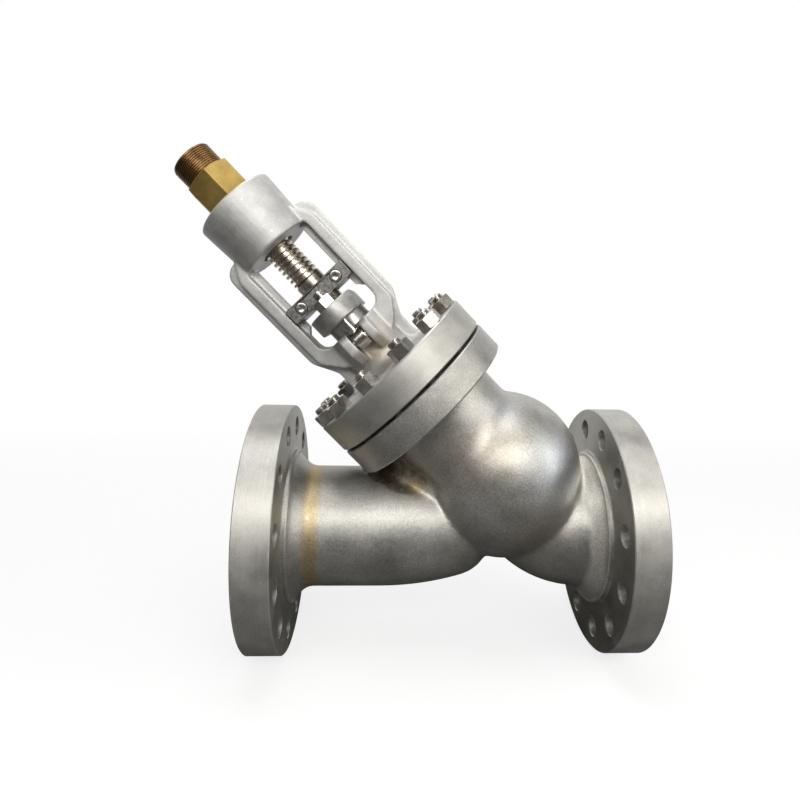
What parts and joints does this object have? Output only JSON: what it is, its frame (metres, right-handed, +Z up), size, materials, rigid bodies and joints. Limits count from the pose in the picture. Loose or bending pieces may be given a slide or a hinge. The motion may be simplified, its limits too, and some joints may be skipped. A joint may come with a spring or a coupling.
{
  "type": "y-pattern globe valve",
  "caption": "Flanged y-pattern globe valve with a slanted bolted bonnet, an open yoke, a rising guided stem and a brass stem nut for an actuator.",
  "frame": {"origin": "centre of the outlet flange's raised face", "axes": "+X along the run from the outlet flange to the inlet flange, +Z up, the bonnet leans 45 degrees from +Z towards -X"},
  "size_m": [0.6681, 0.3556, 0.7253],
  "materials": {
    "cast_steel": "bead blasted cast stainless steel",
    "yoke_steel": "pale bead blasted casting",
    "machined_steel": "turned and satin",
    "bolting_steel": "bright plain bolting",
    "stem_steel": "ground stainless bar",
    "guide_steel": "dark oxidised bar",
    "nut_brass": "machined brass",
    "bush_bronze": "turned bronze",
    "bearing_steel": "ground",
    "graphite": "pressed graphite",
    "hard_facing": "ground hard facing"
  },
  "bodies": {
    "valve_frame": {"body": "cast_steel", "seat_ring": "hard_facing", "bonnet": "yoke_steel", "bonnet_gasket": "graphite", "bonnet_studs": "bolting_steel", "bonnet_nuts": "bolting_steel", "backseat_bush": "bush_bronze", "packing_ring_1": "graphite", "packing_ring_2": "graphite", "packing_ring_3": "graphite", "packing_ring_4": "graphite", "packing_ring_5": "graphite", "gland": "machined_steel", "gland_flange": "machined_steel", "eyebolt_front": "bolting_steel", "eyebolt_rear": "bolting_steel", "eyebolt_pin_front": "bolting_steel", "eyebolt_pin_rear": "bolting_steel", "eyebolt_nut_front": "bolting_steel", "eyebolt_nut_rear": "bolting_steel", "lower_housing_race": "bearing_steel", "upper_housing_race": "bearing_steel", "bearing_retainer": "machined_steel"},
    "stem": {"stem": "stem_steel", "split_ring": "machined_steel", "guide_clamp_front": "guide_steel", "guide_clamp_rear": "guide_steel", "guide_screws": "bolting_steel"},
    "disc": {"disc": "hard_facing", "disc_nut": "machined_steel"},
    "stem_nut": {"stem_nut": "nut_brass", "lower_shaft_race": "bearing_steel", "upper_shaft_race": "bearing_steel"},
    "lower_cage": {"lower_ball_cage": "bearing_steel"},
    "upper_cage": {"upper_ball_cage": "bearing_steel"}
  },
  "joints": [
    {"name": "stem_nut_turn", "type": "hinge", "parent": "valve_frame", "child": "stem_nut", "pos_m": [0.4384, 0, 0], "axis": [-0.7071, 0, 0.7071], "range_deg": [0, 2520]},
    {"name": "stem_lift", "type": "slide", "parent": "valve_frame", "child": "stem", "axis": [-0.7071, 0, 0.7071], "range_m": [0, 0.056]},
    {"name": "disc_swivel", "type": "hinge", "parent": "stem", "child": "disc", "pos_m": [0.4384, 0, 0], "axis": [-0.7071, 0, 0.7071], "continuous": true},
    {"name": "lower_cage_turn", "type": "hinge", "parent": "valve_frame", "child": "lower_cage", "pos_m": [0.4384, 0, 0], "axis": [-0.7071, 0, 0.7071], "range_deg": [0, 1260]},
    {"name": "upper_cage_turn", "type": "hinge", "parent": "valve_frame", "child": "upper_cage", "pos_m": [0.4384, 0, 0], "axis": [-0.7071, 0, 0.7071], "range_deg": [0, 1260]}
  ],
  "couplings": [
    {"joint": "stem_lift", "follows": "stem_nut_turn", "m_per_rad": 0.001273},
    {"joint": "lower_cage_turn", "follows": "stem_nut_turn", "ratio": 0.5},
    {"joint": "upper_cage_turn", "follows": "stem_nut_turn", "ratio": 0.5}
  ]
}
